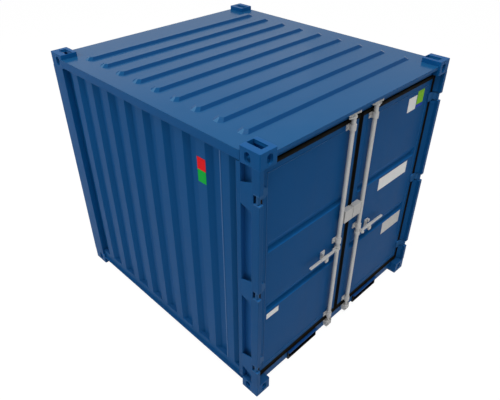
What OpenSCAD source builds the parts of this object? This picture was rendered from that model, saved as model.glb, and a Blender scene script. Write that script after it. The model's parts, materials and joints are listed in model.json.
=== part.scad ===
// Small steel storage container with double doors at one end.
// The origin is on the ground under the middle of the box. The doors face -Y, the length runs along Y.

/* [Overall] */
// Outside length, from the door end to the rear end
length = 2438; // [2200:1:3000]
// Outside width
width = 2200; // [2050:1:2500]
// Outside height over the corner castings
height = 2260; // [2100:1:2600]

/* [Corner castings] */
// Casting size along the length
casting_l = 170; // [168:1:190]
// Casting size across the width
casting_w = 146; // [138:1:170]
// Casting height
casting_h = 112; // [106:1:124]
// Side wall around the hollow of a casting
casting_wall = 20; // [14:1:24]
// Wall that holds the lifting slot
casting_cap = 26; // [18:1:30]
// Radius of the upright edges of a casting
casting_edge_r = 6; // [2:1:10]
// Slot length
slot_l = 123; // [100:1:126]
// Slot width
slot_w = 60; // [48:1:66]
// Distance from the end face to the middle of the slot
slot_from_end = 102; // [96:1:104]
// Distance from the side face to the middle of the slot
slot_from_side = 82; // [76:1:88]
// Width of the oval eyes in the side and end faces
eye_w = 52; // [40:1:58]
// Height of the oval eyes
eye_h = 74; // [66:1:78]
// Distance from the slotted face to the middle of an eye
eye_from_cap = 60; // [57:1:64]

/* [Front posts] */
// Plate thickness of the front posts
post_t = 6; // [4:0.5:8]
// Front face of the nose that stands beside the door
nose_w = 34; // [30:1:40]
// Side face of the nose
nose_d = 66; // [62:1:74]
// Depth of the inner side of the nose, up to the sloped jamb
nose_return = 31; // [24:1:38]
// Width of the open channel in the side of the post
channel_w = 97; // [80:1:110]
// Depth of the open channel
channel_d = 40; // [34:1:46]
// Flange behind the channel
post_flange = 39; // [20:1:60]
// Distance from the side of the box to the face beside the door
jamb_in = 64; // [58:1:76]
// Length of the face beside the door
jamb_d = 50; // [30:1:70]

/* [Rear posts] */
// Side face of a rear post
rear_post_l = 150; // [120:1:180]
// Rear face of a rear post
rear_post_w = 100; // [80:1:130]
// Turned-in edge of a post that the wall sheets meet
wall_return = 62; // [60:1:80]

/* [Walls and roof] */
// Sheet thickness of walls and roof
sheet_t = 3; // [2:0.5:4]
// Set-back of the walls from the sides of the box
wall_in = 20; // [14:1:22]
// Depth of the wall corrugation
wave_depth = 35; // [20:1:36]
// Distance from ridge to ridge
wave_pitch = 226; // [200:1:300]
// Flat on top of a ridge
ridge_flat = 86; // [60:1:90]
// Width of the slope between ridge and groove
wave_slope = 40; // [20:1:50]
// Drop of the roof below the top of the castings
roof_drop = 36; // [30:1:44]
// Height of a roof rib
rib_h = 20; // [10:1:24]
// Foot width of a roof rib
rib_w = 96; // [80:1:120]
// Slope width at the sides of a roof rib
rib_slope = 23; // [15:1:36]
// Slope width at the ends of a roof rib
rib_end_slope = 34; // [20:1:50]
// Distance from the side of the box to the end of a roof rib
rib_from_side = 145; // [120:1:220]
// Bevel of the rib corners in plan
rib_corner = 28; // [10:1:36]

/* [Rails] */
// Height of the top rails
top_rail_h = 65; // [60:1:75]
// Width of the top rails
top_rail_w = 60; // [58:1:80]
// Wall of the top rails
top_rail_t = 4; // [3:0.5:6]
// Height of the lower edge of the bottom rails above the ground
rail_low = 74; // [60:1:80]
// Height of the bottom rails
rail_h = 86; // [80:1:100]
// Plate thickness of the bottom rails
rail_t = 6; // [4:0.5:8]
// Width of the ledge that carries the wall sheets
rail_ledge = 50; // [48:1:70]

/* [Door frame] */
// Distance from the front of the castings back to the door face
door_recess = 67; // [62:1:80]
// Plate thickness of header and sill
header_t = 5; // [4:0.5:6]
// Depth of header and sill behind the door face
header_d = 60; // [55:1:75]
// Height of the header from its lower edge to the roof sheet
header_h = 85; // [80:1:95]
// Height of the lip along the front edge of the roof
brow_h = 21; // [14:1:28]
// Distance from the front of the castings to the lip
brow_in = 12; // [6:1:20]
// Height of the lower edge of the sill above the ground
sill_low = 40; // [30:1:46]
// Height of the sill
sill_h = 84; // [80:1:96]

/* [Floor and fork pockets] */
// Thickness of the floor boards
floor_t = 26; // [18:1:28]
// Height of the floor cross members
cross_h = 60; // [50:1:62]
// Flange width of a cross member
cross_w = 40; // [30:1:60]
// Number of cross members
cross_count = 5; // [3:1:7]
// Plate thickness of cross members and fork pockets
pocket_t = 5; // [3:0.5:6]
// Outside width of a fork pocket
pocket_w = 377; // [300:1:400]
// Outside height of a fork pocket
pocket_h = 90; // [86:1:92]
// Height of a fork pocket above the ground
pocket_low = 22; // [18:1:24]
// Distance from the middle of the box to a fork pocket
pocket_from_middle = 283; // [240:1:340]
// How far the mouth of a fork pocket stands out of the sill
pocket_out = 12; // [4:1:16]
// How far the lip over that mouth stands out of the sill
pocket_lip = 26; // [20:1:48]

/* [Doors] */
// Half of the gap between the two leaves
leaf_gap = 22; // [20:1:26]
// Gap between leaf and jamb
side_gap = 24; // [22:1:28]
// Gap between leaf and header
top_gap = 34; // [30:1:38]
// Gap between leaf and sill
bottom_gap = 40; // [32:1:46]
// Thickness of a leaf
leaf_t = 50; // [45:1:55]
// Width of the leaf frame members
stile_w = 50; // [44:1:60]
// Plate thickness of the leaf frame
stile_t = 5; // [4:0.5:7]
// Set-back of the door sheet from the frame
panel_in = 2; // [1:0.5:4]
// Height of the lower edge of the lower groove above the ground
groove_low_z = 808; // [700:1:900]
// Distance from the top of the leaf down to the lower edge of the upper groove
groove_top_drop = 704; // [640:1:760]
// Height of a door groove
groove_h = 92; // [88:1:120]
// Depth of a door groove
groove_depth = 25; // [15:1:30]
// Height of the long slope at the top of a door groove
groove_fall = 62; // [40:1:66]
// Height of the steep ledge at the bottom of a door groove
groove_ledge = 22; // [15:1:26]
// Width of the slope at the ends of a door groove
groove_end_slope = 30; // [20:1:40]
// Bevel of the groove corners
groove_corner = 12; // [6:1:20]
// Distance from the leaf frame to the end of a groove
groove_end = 15; // [8:1:30]
// Depth of the door seal
seal_d = 24; // [18:1:30]
// Set-back of the seal from the door face
seal_in = 2; // [1:0.5:4]
// Running gap of the seals
seal_gap = 5.5; // [5:0.5:8]

/* [Hinges] */
// Height of the lowest hinge
hinge_low_z = 328; // [300:1:400]
// Distance from the top of the box down to the highest hinge
hinge_top_drop = 326; // [290:1:400]
// Height of the notch in the post at a hinge
notch_h = 67; // [60:1:80]
// Depth of the notch from the front of the post
notch_d = 54; // [50:1:56]
// Thickness of the lugs above and below a notch
lug_t = 8; // [6:1:10]
// Diameter of a hinge pin
pin_d = 16; // [12:1:18]
// Radial clearance of a hinge pin
pin_play = 0.3; // [0.2:0.05:0.5]
// Outside diameter of a hinge knuckle
knuckle_d = 27; // [24:1:28]
// Thickness of the hinge strap
strap_t = 14; // [10:1:15]
// Gap between strap and lugs
strap_gap = 3; // [2:0.5:5]
// How far a strap reaches over the leaf
strap_reach = 34; // [26:1:44]
// Height of the strap's plate on the leaf
strap_plate_h = 76; // [68:1:80]
// Radius of the corners of the strap's plate
strap_r = 24; // [10:1:26]
// Height of the channel plate at a hinge, at its narrow rear edge
gusset_rear_h = 155; // [120:1:180]
// Height of the channel plate at its wide front edge
gusset_front_h = 222; // [190:1:260]

/* [Lock gear] */
// Distance from the middle of the box to a lock bar
bar_x = 137; // [130:1:150]
// Distance from the door face to the middle of a lock bar
bar_out = 28; // [27:0.5:30]
// Diameter of a lock bar
bar_d = 34; // [30:0.5:36]
// Radial clearance of a lock bar in its guides
bar_play = 0.4; // [0.2:0.05:0.6]
// Height of the lower bar guide
guide_low_z = 202; // [198:1:230]
// Height of the middle bar guide
guide_mid_z = 1062; // [1050:1:1090]
// Distance from the top of the leaf down to the middle of the upper bar guide
guide_top_drop = 28; // [26:1:60]
// Height of a bar guide
guide_h = 46; // [36:1:50]
// Width of the foot of a bar guide
guide_w = 90; // [80:1:110]
// Thickness of the foots of guides, catches and keepers
foot_t = 6; // [4:0.5:6]
// Wall of the ring around a bar
guide_wall = 7; // [5:0.5:9]
// Width of a top keeper
keeper_w = 141; // [120:1:150]
// Height of the claws of a top keeper
claw_h = 26; // [22:1:28]
// Depth of the keepers
keeper_d = 36; // [32:1:40]
// Gap between a lock bar and the claws of its keeper
claw_gap = 7; // [6:0.5:9]
// Height of a bottom keeper
cup_h = 62; // [54:1:70]
// Diameter of the neck at the lower end of a lock bar
neck_d = 24; // [18:1:28]
// Diameter of the collar below the neck
collar_d = 44; // [36:1:48]
// Height of the collar
collar_h = 34; // [24:1:40]
// Distance from the top of a bottom keeper down to the collar
collar_drop = 4; // [0:1:8]
// Length of a cam nose from the middle of the bar
cam_reach = 60; // [48:1:64]
// Thickness of a cam nose
cam_t = 12; // [10:1:14]
// Width of the ring that carries a cam nose, around the bar
cam_rim = 5; // [3:0.5:6]
// Gap between cam nose and keeper
cam_gap = 6; // [5:0.5:8]
// Height of the handles
handle_z = 986; // [970:1:995]
// Distance from the bar to the pivot of its handle
pivot_out = 42; // [40:1:50]
// Diameter of the handle pivot
pivot_d = 14; // [10:1:16]
// Thickness of the lug that carries the pivot
pivot_lug_t = 10; // [8:1:14]
// How far the front of that lug stands before the middle of the bar
pivot_lug_out = 2; // [0:0.5:4]
// Reach of a handle from its pivot to its end
handle_l = 318; // [280:1:340]
// Height of a handle at its eye and in its catch
handle_h = 28; // [24:1:32]
// Height of a handle's neck, between its eye and its catch
handle_neck_h = 17; // [14:1:22]
// Height of a handle's grip
handle_tip_h = 20; // [18:1:24]
// Thickness of a handle
handle_t = 15; // [10:1:16]
// Distance from the middle of the box to a handle catch
catch_x = 300; // [280:1:330]
// Width of a handle catch
catch_w = 46; // [36:1:56]
// Gap between a handle and its catch
catch_gap = 7; // [5.5:0.5:9]
// Height of the tab below a catch
catch_tab_h = 14; // [8:1:20]
// Width of the finger of a catch that stands behind the handle
finger_w = 20; // [10:1:24]
// Outside width of one half of the lock box
box_w = 102; // [80:1:106]
// Height of the lock box
box_h = 113; // [90:1:130]
// Height of the lower edge of the lock box
box_z = 1219; // [1150:1:1250]
// Depth of the lock box
box_d = 43; // [36:1:46]
// Wall of the lock box
box_t = 5; // [3:0.5:6]
// Half of the gap between the halves of the lock box
box_gap = 3.5; // [3.5:0.5:6]

/* [Hidden] */
half_w = width / 2;
front_y = -length / 2;
rear_y = length / 2;
roof_z = height - roof_drop;
frame_top = roof_z - sheet_t;
post_top = height - casting_h;
rail_top = rail_low + rail_h;
wall_top = frame_top - top_rail_h;
door_y = front_y + door_recess;
jamb_x = half_w - jamb_in;
header_low = frame_top - header_h;
sill_top = sill_low + sill_h;
channel_end = nose_d + channel_w;
wall_front_y = front_y + channel_end + post_t;
wall_rear_y = rear_y - rear_post_l;
rear_wall_x = half_w - rear_post_w;
groove_flat = wave_pitch - ridge_flat - 2 * wave_slope;
weld_gap = 0.2;
overcut = 1;
arc = 48;

// Leaf outline
leaf_in = leaf_gap;
leaf_out = jamb_x - side_gap;
leaf_low = sill_top + bottom_gap;
leaf_high = header_low - top_gap;
groove_high_z = leaf_high - groove_top_drop;

// Hinge pin, in from the side of the box and back from its front
pin_u = nose_w / 2;
pin_v = notch_d / 2;
hinge_high_z = height - hinge_top_drop;
hinge_zs = [hinge_low_z, (hinge_low_z + hinge_high_z) / 2, hinge_high_z];
strap_front = door_y - strap_t;

// Lock bars and keepers
bar_y = door_y - bar_out;
guide_high_z = leaf_high - guide_top_drop;
bar_r = bar_d / 2;
claw_x = bar_r + claw_gap;
claw_top_z = frame_top - brow_h - header_t - overcut;
claw_low_z = claw_top_z - claw_h;
bar_top_z = claw_top_z - cam_gap;
cup_x = collar_d / 2 + claw_gap;
cup_w = 2 * cup_x + 2 * foot_t;
cup_low_z = sill_top - cup_h;
collar_top_z = sill_top - collar_drop;
neck_top_z = guide_low_z - guide_h / 2 - cam_gap;
hub_r = bar_r + guide_wall;
handle_play = 0.4;
pivot_x = bar_x + pivot_out;
lug_front = bar_y - pivot_lug_out;
handle_back = lug_front - handle_play;
handle_front = handle_back - handle_t;
floor_low = rail_top - floor_t;

paint = "steelblue";
zinc = "lightgray";
rubber = "dimgray";
board = "burlywood";

// Folded plate: a bent line and its copy set off to the left by the plate thickness
function unit(v) = v / norm(v);
function left_of(d) = [-d[1], d[0]];
function side_before(path, i) = left_of(unit(path[max(i, 1)] - path[max(i, 1) - 1]));
function side_after(path, i) =
    let (k = min(i, len(path) - 2))
    left_of(unit(path[k + 1] - path[k]));
function mitre(path, i) =
    let (a = side_before(path, i), b = side_after(path, i))
    (a + b) / (1 + a * b);
function folded(path, t) =
    concat(path, [for (i = [len(path) - 1 : -1 : 0]) path[i] + t * mitre(path, i)]);

// Corrugated line from start to end, with as many whole ridges as fit, centred between the ends
function ridge_count(span) = floor((span - groove_flat) / wave_pitch);
function ridge_line(centre) = [
    [centre - ridge_flat / 2 - wave_slope, wave_depth],
    [centre - ridge_flat / 2, 0],
    [centre + ridge_flat / 2, 0],
    [centre + ridge_flat / 2 + wave_slope, wave_depth]
];
function wave_line(start, end) =
    let (n = ridge_count(end - start), middle = (start + end) / 2)
    concat(
        [[start, wave_depth]],
        [for (i = [0 : n - 1]) for (p = ridge_line(middle + (i - (n - 1) / 2) * wave_pitch)) p],
        [[end, wave_depth]]
    );

// Block between two corners
module block(low, high) {
    translate(low)
        cube(high - low);
}

// Flat shape in the XZ plane, drawn out along Y
module run_y(start, end) {
    translate([0, end, 0])
        rotate([90, 0, 0])
            linear_extrude(height = end - start)
                children();
}

// Flat shape in the YZ plane, drawn out along X
module run_x(start, end) {
    translate([start, 0, 0])
        rotate([90, 0, 90])
            linear_extrude(height = end - start)
                children();
}

// Shape modelled on the left, turned over to the right
module on_side(right) {
    mirror([right ? 1 : 0, 0, 0])
        children();
}

// Shape measured in from the left side and back from the front of the box
module from_corner(right, rear) {
    mirror([right ? 1 : 0, 0, 0])
        mirror([0, rear ? 1 : 0, 0])
            translate([-half_w, front_y, 0])
                children();
}

// Room that the eight castings take out of the rails and sheets
module casting_room() {
    for (right = [false, true])
        for (rear = [false, true])
            from_corner(right, rear)
                for (low = [-overcut, post_top - weld_gap])
                    block(
                        [-overcut, -overcut, low],
                        [casting_w + weld_gap, casting_l + weld_gap, low + casting_h + weld_gap + overcut]
                    );
}

module clear_of_castings() {
    difference() {
        children();
        casting_room();
    }
}

// Rectangle with round corners, from the origin
module round_plate(w, l, r) {
    translate([r, 0])
        square([w - 2 * r, l]);
    translate([0, r])
        square([w, l - 2 * r]);
    for (x = [r, w - r])
        for (y = [r, l - r])
            translate([x, y])
                circle(r = r, $fn = arc);
}

// Upright oval, centred
module oval(w, h) {
    square([w, h - w], center = true);
    for (s = [-1, 1])
        translate([0, s * (h - w) / 2])
            circle(d = w, $fn = arc);
}

// Corner casting: hollow block with a slot in its cap and an eye in each outer face
module casting() {
    inner_end = max(casting_l - casting_wall, slot_from_end + slot_l / 2);
    difference() {
        linear_extrude(height = casting_h)
            round_plate(casting_w, casting_l, casting_edge_r);
        block(
            [casting_wall, casting_wall, casting_h - eye_from_cap - eye_h / 2],
            [casting_w - casting_wall, inner_end, casting_h - casting_cap]
        );
        translate([slot_from_side - slot_w / 2, slot_from_end - slot_l / 2, casting_h - casting_cap - overcut])
            cube([slot_w, slot_l, casting_cap + 2 * overcut]);
        translate([slot_from_side, 0, casting_h - eye_from_cap])
            run_y(-overcut, casting_wall + overcut)
                oval(eye_w, eye_h);
        translate([0, slot_from_end, casting_h - eye_from_cap])
            run_x(-overcut, casting_wall + overcut)
                oval(eye_w, eye_h);
    }
}

module top_casting(right, rear) {
    color(paint)
        from_corner(right, rear)
            translate([0, 0, post_top])
                casting();
}

module bottom_casting(right, rear) {
    color(paint)
        from_corner(right, rear)
            translate([0, 0, casting_h])
                mirror([0, 0, 1])
                    casting();
}

// Section of a front post: flange, open channel, nose and sloped jamb
front_post_line = [
    [0, channel_end + post_flange],
    [0, channel_end],
    [channel_d, channel_end],
    [channel_d, nose_d],
    [0, nose_d],
    [0, 0],
    [nose_w, 0],
    [nose_w, nose_return],
    [jamb_in, door_recess],
    [jamb_in, door_recess + jamb_d]
];

module front_post(right) {
    color(paint)
        from_corner(right, false)
            difference() {
                translate([0, 0, casting_h])
                    linear_extrude(height = post_top - casting_h) {
                        polygon(folded(front_post_line, post_t));
                        translate([channel_d, channel_end])
                            square([wall_return - channel_d, post_t]);
                    }
                for (z = hinge_zs)
                    hinge_notch(z);
            }
}

// Room for one hinge: the corner notch and the way of the strap through the jamb
module hinge_notch(z) {
    cut_h = notch_h / 2 + lug_t;
    strap_room = door_recess + 2 * strap_gap;
    block([-overcut, -overcut, z - cut_h], [pin_u + strap_gap, notch_d, z + cut_h]);
    block([pin_u, -overcut, z - cut_h], [jamb_in + overcut, strap_room, z + cut_h]);
}

// Trapezoid plates that close the post's channel beside each hinge
module hinge_gussets() {
    color(paint)
        for (right = [false, true])
            from_corner(right, false)
                for (z = hinge_zs)
                    translate([0, 0, z])
                        run_x(0, post_t)
                            polygon([
                                [nose_d, -gusset_front_h / 2],
                                [channel_end, -gusset_rear_h / 2],
                                [channel_end, gusset_rear_h / 2],
                                [nose_d, gusset_front_h / 2]
                            ]);
}

// Pairs of lugs in the post's notches, each pair with its pin
module hinge_lugs() {
    color(paint)
        for (right = [false, true])
            from_corner(right, false)
                for (z = hinge_zs) {
                    for (low = [z - notch_h / 2 - lug_t, z + notch_h / 2])
                        block([0, 0, low], [nose_w, notch_d, low + lug_t]);
                    translate([pin_u, pin_v, z])
                        cylinder(d = pin_d, h = notch_h + lug_t, center = true, $fn = arc);
                }
}

module rear_post(right) {
    color(paint)
        from_corner(right, true)
            translate([0, 0, casting_h])
                linear_extrude(height = post_top - casting_h)
                    polygon(folded([
                        [wall_return, rear_post_l],
                        [0, rear_post_l],
                        [0, 0],
                        [rear_post_w, 0],
                        [rear_post_w, wall_return]
                    ], post_t));
}

// Closed box section of the top rails, from the outside inwards
module top_rail_section() {
    difference() {
        square([top_rail_w, top_rail_h]);
        translate([top_rail_t, top_rail_t])
            square([top_rail_w - 2 * top_rail_t, top_rail_h - 2 * top_rail_t]);
    }
}

module top_rail(right) {
    color(paint)
        on_side(right)
            translate([-half_w, 0, wall_top])
                run_y(front_y + casting_l, rear_y - casting_l)
                    top_rail_section();
}

module rear_top_rail() {
    color(paint)
        translate([0, rear_y, wall_top])
            run_x(casting_w - half_w, half_w - casting_w)
                mirror([1, 0])
                    top_rail_section();
}

// Bottom rail section: ledge for the wall, web, and a lip out to the side of the box
bottom_rail_line = [
    [wall_in + rail_ledge, rail_top],
    [wall_in, rail_top],
    [wall_in, rail_low + rail_t],
    [0, rail_low + rail_t]
];

module bottom_rail(right) {
    color(paint)
        clear_of_castings()
            on_side(right)
                translate([-half_w, 0, 0])
                    run_y(wall_front_y, wall_rear_y)
                        polygon(folded(bottom_rail_line, rail_t));
}

module rear_bottom_rail() {
    color(paint)
        difference() {
            clear_of_castings()
                translate([0, rear_y, 0])
                    run_x(-rear_wall_x, rear_wall_x)
                        mirror([1, 0])
                            polygon(folded(bottom_rail_line, rail_t));
            pocket_room();
        }
}

// Header over the doors, with a brow under the front edge of the roof
module door_header() {
    brow = brow_in - door_recess;
    low = header_low;
    high = frame_top;
    color(paint)
        clear_of_castings()
            translate([0, door_y, 0])
                run_x(-jamb_x, jamb_x)
                    polygon(folded([
                        [header_d, high],
                        [brow, high],
                        [brow, high - brow_h],
                        [0, high - brow_h],
                        [0, low],
                        [header_d, low]
                    ], header_t));
}

module door_sill() {
    color(paint)
        difference() {
            clear_of_castings()
                translate([0, door_y, 0])
                    run_x(-jamb_x, jamb_x)
                        polygon(folded([
                            [header_d, rail_top],
                            [header_d, sill_top],
                            [0, sill_top],
                            [0, sill_low],
                            [header_d, sill_low]
                        ], header_t));
            pocket_room();
        }
}

module side_wall(right) {
    color(paint)
        clear_of_castings()
            on_side(right)
                translate([wall_in - half_w, 0, rail_top])
                    linear_extrude(height = wall_top - rail_top)
                        mirror([1, -1])
                            polygon(folded(wave_line(wall_front_y, wall_rear_y), sheet_t));
}

module rear_wall() {
    color(paint)
        clear_of_castings()
            translate([0, rear_y - wall_in, rail_top])
                linear_extrude(height = wall_top - rail_top)
                    mirror([0, 1])
                        polygon(folded(wave_line(-rear_wall_x, rear_wall_x), sheet_t));
}

// Pressed form: a long block whose sides, ends and bevelled corners all slope in
module pressing(l, w, h, slope, far_slope, end_slope, corner, sink) {
    diagonal = (l + w - 2 * corner) / sqrt(2);
    intersection() {
        run_y(-w / 2, w / 2)
            slope_section(l, h, end_slope, end_slope, sink);
        run_x(-l / 2, l / 2)
            slope_section(w, h, slope, far_slope, sink);
        rotate([0, 0, 45])
            run_y(-l, l)
                slope_section(diagonal, h, end_slope, end_slope, sink);
        rotate([0, 0, -45])
            run_y(-l, l)
                slope_section(diagonal, h, end_slope, end_slope, sink);
    }
}

module slope_section(w, h, slope, far_slope, sink) {
    polygon([
        [-w / 2, -sink], [w / 2, -sink], [w / 2, 0],
        [w / 2 - far_slope, h], [slope - w / 2, h], [-w / 2, 0]
    ]);
}

// Roof sheet with raised ribs across it, hollow from below
module roof_sheet() {
    ribs = floor((length - 2 * casting_l - rib_w) / wave_pitch) + 1;
    color(paint)
        clear_of_castings()
            difference() {
                union() {
                    block([-half_w, front_y + brow_in, frame_top], [half_w, rear_y, roof_z]);
                    roof_ribs(ribs, roof_z, sheet_t / 2);
                }
                roof_ribs(ribs, frame_top, overcut);
            }
}

module roof_ribs(ribs, z, sink) {
    for (i = [0 : ribs - 1])
        translate([0, (i - (ribs - 1) / 2) * wave_pitch, z])
            pressing(
                width - 2 * rib_from_side, rib_w, rib_h,
                rib_slope, rib_slope, rib_end_slope, rib_corner, sink
            );
}

module floor_boards() {
    side = half_w - wall_in - rail_ledge - weld_gap;
    color(board)
        block(
            [-side, door_y + header_d + header_t + weld_gap, floor_low],
            [side, rear_y - wall_in - rail_ledge - weld_gap, rail_top]
        );
}

// Channels under the floor, open to the rear, cut where the fork pockets pass
module floor_cross_members() {
    side = half_w - wall_in - rail_t;
    run = length - 2 * casting_l;
    step = run / cross_count;
    color(paint)
        difference() {
            for (i = [0 : cross_count - 1])
                translate([0, (i - (cross_count - 1) / 2) * step - cross_w / 2, 0])
                    run_x(-side, side)
                        polygon(folded([
                            [cross_w, floor_low],
                            [0, floor_low],
                            [0, floor_low - cross_h],
                            [cross_w, floor_low - cross_h]
                        ], pocket_t));
            pocket_room();
        }
}

// Room that the fork pockets take out of sill, rear rail and cross members
module pocket_room() {
    for (right = [false, true])
        on_side(right)
            block(
                [-pocket_from_middle - pocket_w - weld_gap, front_y, pocket_low - overcut],
                [-pocket_from_middle + weld_gap, rear_y + overcut, pocket_low + pocket_h + weld_gap]
            );
}

// Fork pocket: a tube through the base with a lip over its front mouth
module fork_pocket(right) {
    outer = -pocket_from_middle - pocket_w;
    top = pocket_low + pocket_h;
    mouth = door_y - pocket_out;
    rear_end = rear_y - wall_in;
    color(paint)
        on_side(right) {
            difference() {
                block([outer, mouth, pocket_low], [-pocket_from_middle, rear_end, top]);
                block(
                    [outer + pocket_t, mouth - overcut, pocket_low + pocket_t],
                    [-pocket_from_middle - pocket_t, rear_end + overcut, top - pocket_t]
                );
            }
            block([outer, door_y - pocket_lip, top - pocket_t], [-pocket_from_middle, mouth, top]);
        }
}

// Keepers on the header: a back plate and two claws with the bar's end between them
module top_keepers() {
    color(zinc)
        for (right = [false, true])
            on_side(right)
                translate([-bar_x, 0, 0]) {
                    block(
                        [-keeper_w / 2, door_y - foot_t, claw_low_z],
                        [keeper_w / 2, door_y, claw_top_z]
                    );
                    for (s = [0, 1])
                        mirror([s, 0, 0])
                            run_y(door_y - keeper_d, door_y - foot_t / 2)
                                polygon([
                                    [claw_x, claw_low_z],
                                    [keeper_w / 2 - claw_h / 2, claw_low_z],
                                    [keeper_w / 2, claw_low_z + claw_h / 2],
                                    [keeper_w / 2, claw_top_z],
                                    [claw_x, claw_top_z]
                                ]);
                }
}

// Keepers on the sill: a cup that is open at its top and front
module bottom_keepers() {
    color(zinc)
        for (right = [false, true])
            on_side(right)
                translate([-bar_x, 0, 0])
                    difference() {
                        run_y(door_y - keeper_d - foot_t, door_y)
                            polygon([
                                [foot_t - cup_w / 2, cup_low_z],
                                [cup_w / 2 - foot_t, cup_low_z],
                                [cup_w / 2, cup_low_z + foot_t],
                                [cup_w / 2, sill_top],
                                [-cup_w / 2, sill_top],
                                [-cup_w / 2, cup_low_z + foot_t]
                            ]);
                        block(
                            [-cup_x, door_y - keeper_d - foot_t - overcut, cup_low_z + foot_t],
                            [cup_x, door_y - foot_t, sill_top + overcut]
                        );
                    }
}

// Leaf frame: a ring of channels, open to the inside of the box
module leaf_frame(right) {
    color(paint)
        on_side(right)
            difference() {
                leaf_ring(0, stile_w, door_y, door_y + leaf_t);
                leaf_ring(stile_t, stile_w - stile_t, door_y + stile_t, door_y + leaf_t + overcut);
            }
}

// Rectangular ring that follows the leaf outline, from one distance inside it to another
module leaf_ring(outer, inner, start, end) {
    run_y(start, end)
        difference() {
            leaf_outline(outer);
            leaf_outline(inner);
        }
}

module leaf_outline(inset) {
    translate([inset - leaf_out, leaf_low + inset])
        square([leaf_out - leaf_in - 2 * inset, leaf_high - leaf_low - 2 * inset]);
}

// Door sheet with two lying grooves pressed into it
module leaf_panel(right) {
    color(paint)
        on_side(right)
            difference() {
                union() {
                    run_y(door_y + panel_in, door_y + panel_in + sheet_t)
                        leaf_outline(stile_w);
                    leaf_grooves(door_y + panel_in + sheet_t, sheet_t / 2);
                }
                leaf_grooves(door_y + panel_in, overcut);
            }
}

module leaf_grooves(y, sink) {
    run = leaf_out - leaf_in - 2 * stile_w - 2 * groove_end;
    for (z = [groove_low_z, groove_high_z])
        translate([-(leaf_out + leaf_in) / 2, y, z + groove_h / 2])
            rotate([-90, 0, 0])
                pressing(
                    run, groove_h, groove_depth,
                    groove_fall, groove_ledge, groove_end_slope, groove_corner, sink
                );
}

// Seal around a leaf, short of the frame by its running gap
module leaf_seal(right) {
    color(rubber)
        on_side(right)
            run_y(door_y + seal_in, door_y + seal_in + seal_d)
                difference() {
                    translate([seal_gap - jamb_x, sill_top + seal_gap])
                        square([
                            jamb_x - seal_gap - seal_gap,
                            header_low - sill_top - 2 * seal_gap
                        ]);
                    leaf_outline(0);
                }
}

// Hinge straps: a knuckle on the pin, an arm out of the notch and a round-ended plate on the leaf
module leaf_hinges(right) {
    strap_h = notch_h - 2 * strap_gap;
    pin_y = front_y + pin_v;
    arm_end = [knuckle_d, strap_front + strap_t / 2 - pin_y];
    arm_side = strap_t / 2 * left_of(unit(arm_end));
    color(paint)
        on_side(right)
            for (z = hinge_zs) {
                translate([pin_u - half_w, pin_y, z - strap_h / 2])
                    linear_extrude(height = strap_h)
                        difference() {
                            union() {
                                circle(d = knuckle_d, $fn = arc);
                                polygon([-arm_side, arm_end - arm_side, arm_end + arm_side, arm_side]);
                                translate(arm_end)
                                    circle(d = strap_t, $fn = arc);
                                translate([arm_end[0], strap_front - pin_y])
                                    square([jamb_in - pin_u - arm_end[0], strap_t]);
                            }
                            circle(d = pin_d + 2 * pin_play, $fn = arc);
                        }
                translate([-jamb_x, 0, z - strap_plate_h / 2])
                    run_y(strap_front, door_y)
                        strap_plate(side_gap + strap_reach);
            }
}

// Plate of a strap, square at the jamb and with round corners on the leaf
module strap_plate(l) {
    square([l - strap_r, strap_plate_h]);
    translate([0, strap_r])
        square([l, strap_plate_h - 2 * strap_r]);
    for (z = [strap_r, strap_plate_h - strap_r])
        translate([l - strap_r, z])
            circle(r = strap_r, $fn = arc);
}

// Guides that hold a lock bar on its leaf: two on the frame and one on the door sheet
module bar_guides(right) {
    color(zinc)
        on_side(right) {
            bar_guide(guide_low_z, door_y);
            bar_guide(guide_mid_z, door_y + panel_in);
            bar_guide(guide_high_z, door_y);
        }
}

module bar_guide(z, seat_y) {
    translate([-bar_x, 0, z - guide_h / 2])
        difference() {
            union() {
                block([-guide_w / 2, door_y - foot_t, 0], [guide_w / 2, seat_y, guide_h]);
                block([-bar_r, bar_y, 0], [bar_r, door_y - foot_t / 2, guide_h]);
                translate([0, bar_y, 0])
                    cylinder(r = hub_r, h = guide_h, $fn = arc);
            }
            translate([0, bar_y, -overcut])
                cylinder(r = bar_r + bar_play, h = guide_h + 2 * overcut, $fn = arc);
        }
}

// Catch for a handle: a foot with a tab on the leaf, a shelf below the handle and a finger behind it
module handle_catch(right) {
    shelf_z = handle_z - handle_h / 2 - catch_gap;
    finger_z = handle_z + handle_h / 2;
    finger_front = handle_back + catch_gap;
    color(zinc)
        on_side(right)
            translate([-catch_x, 0, 0]) {
                block(
                    [-catch_w / 2, door_y - foot_t, shelf_z - foot_t],
                    [catch_w / 2, door_y + panel_in, finger_z + handle_h]
                );
                block(
                    [0, door_y - foot_t, shelf_z - foot_t - catch_tab_h],
                    [catch_w / 2, door_y + panel_in, shelf_z]
                );
                block([0, handle_front, shelf_z - foot_t], [catch_w / 2, door_y - foot_t / 2, shelf_z]);
                block(
                    [-catch_w / 2, finger_front, finger_z],
                    [finger_w - catch_w / 2, door_y - foot_t / 2, finger_z + handle_h]
                );
            }
}

// Half of the lock box, open below and towards the other half
module lock_box(right) {
    color(zinc)
        on_side(right)
            difference() {
                block([-box_gap - box_w, door_y - box_d, box_z], [-box_gap, door_y, box_z + box_h]);
                block(
                    [box_t - box_gap - box_w, door_y - box_d + box_t, box_z - overcut],
                    [overcut - box_gap, door_y - box_t, box_z + box_h - box_t]
                );
            }
}

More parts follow.
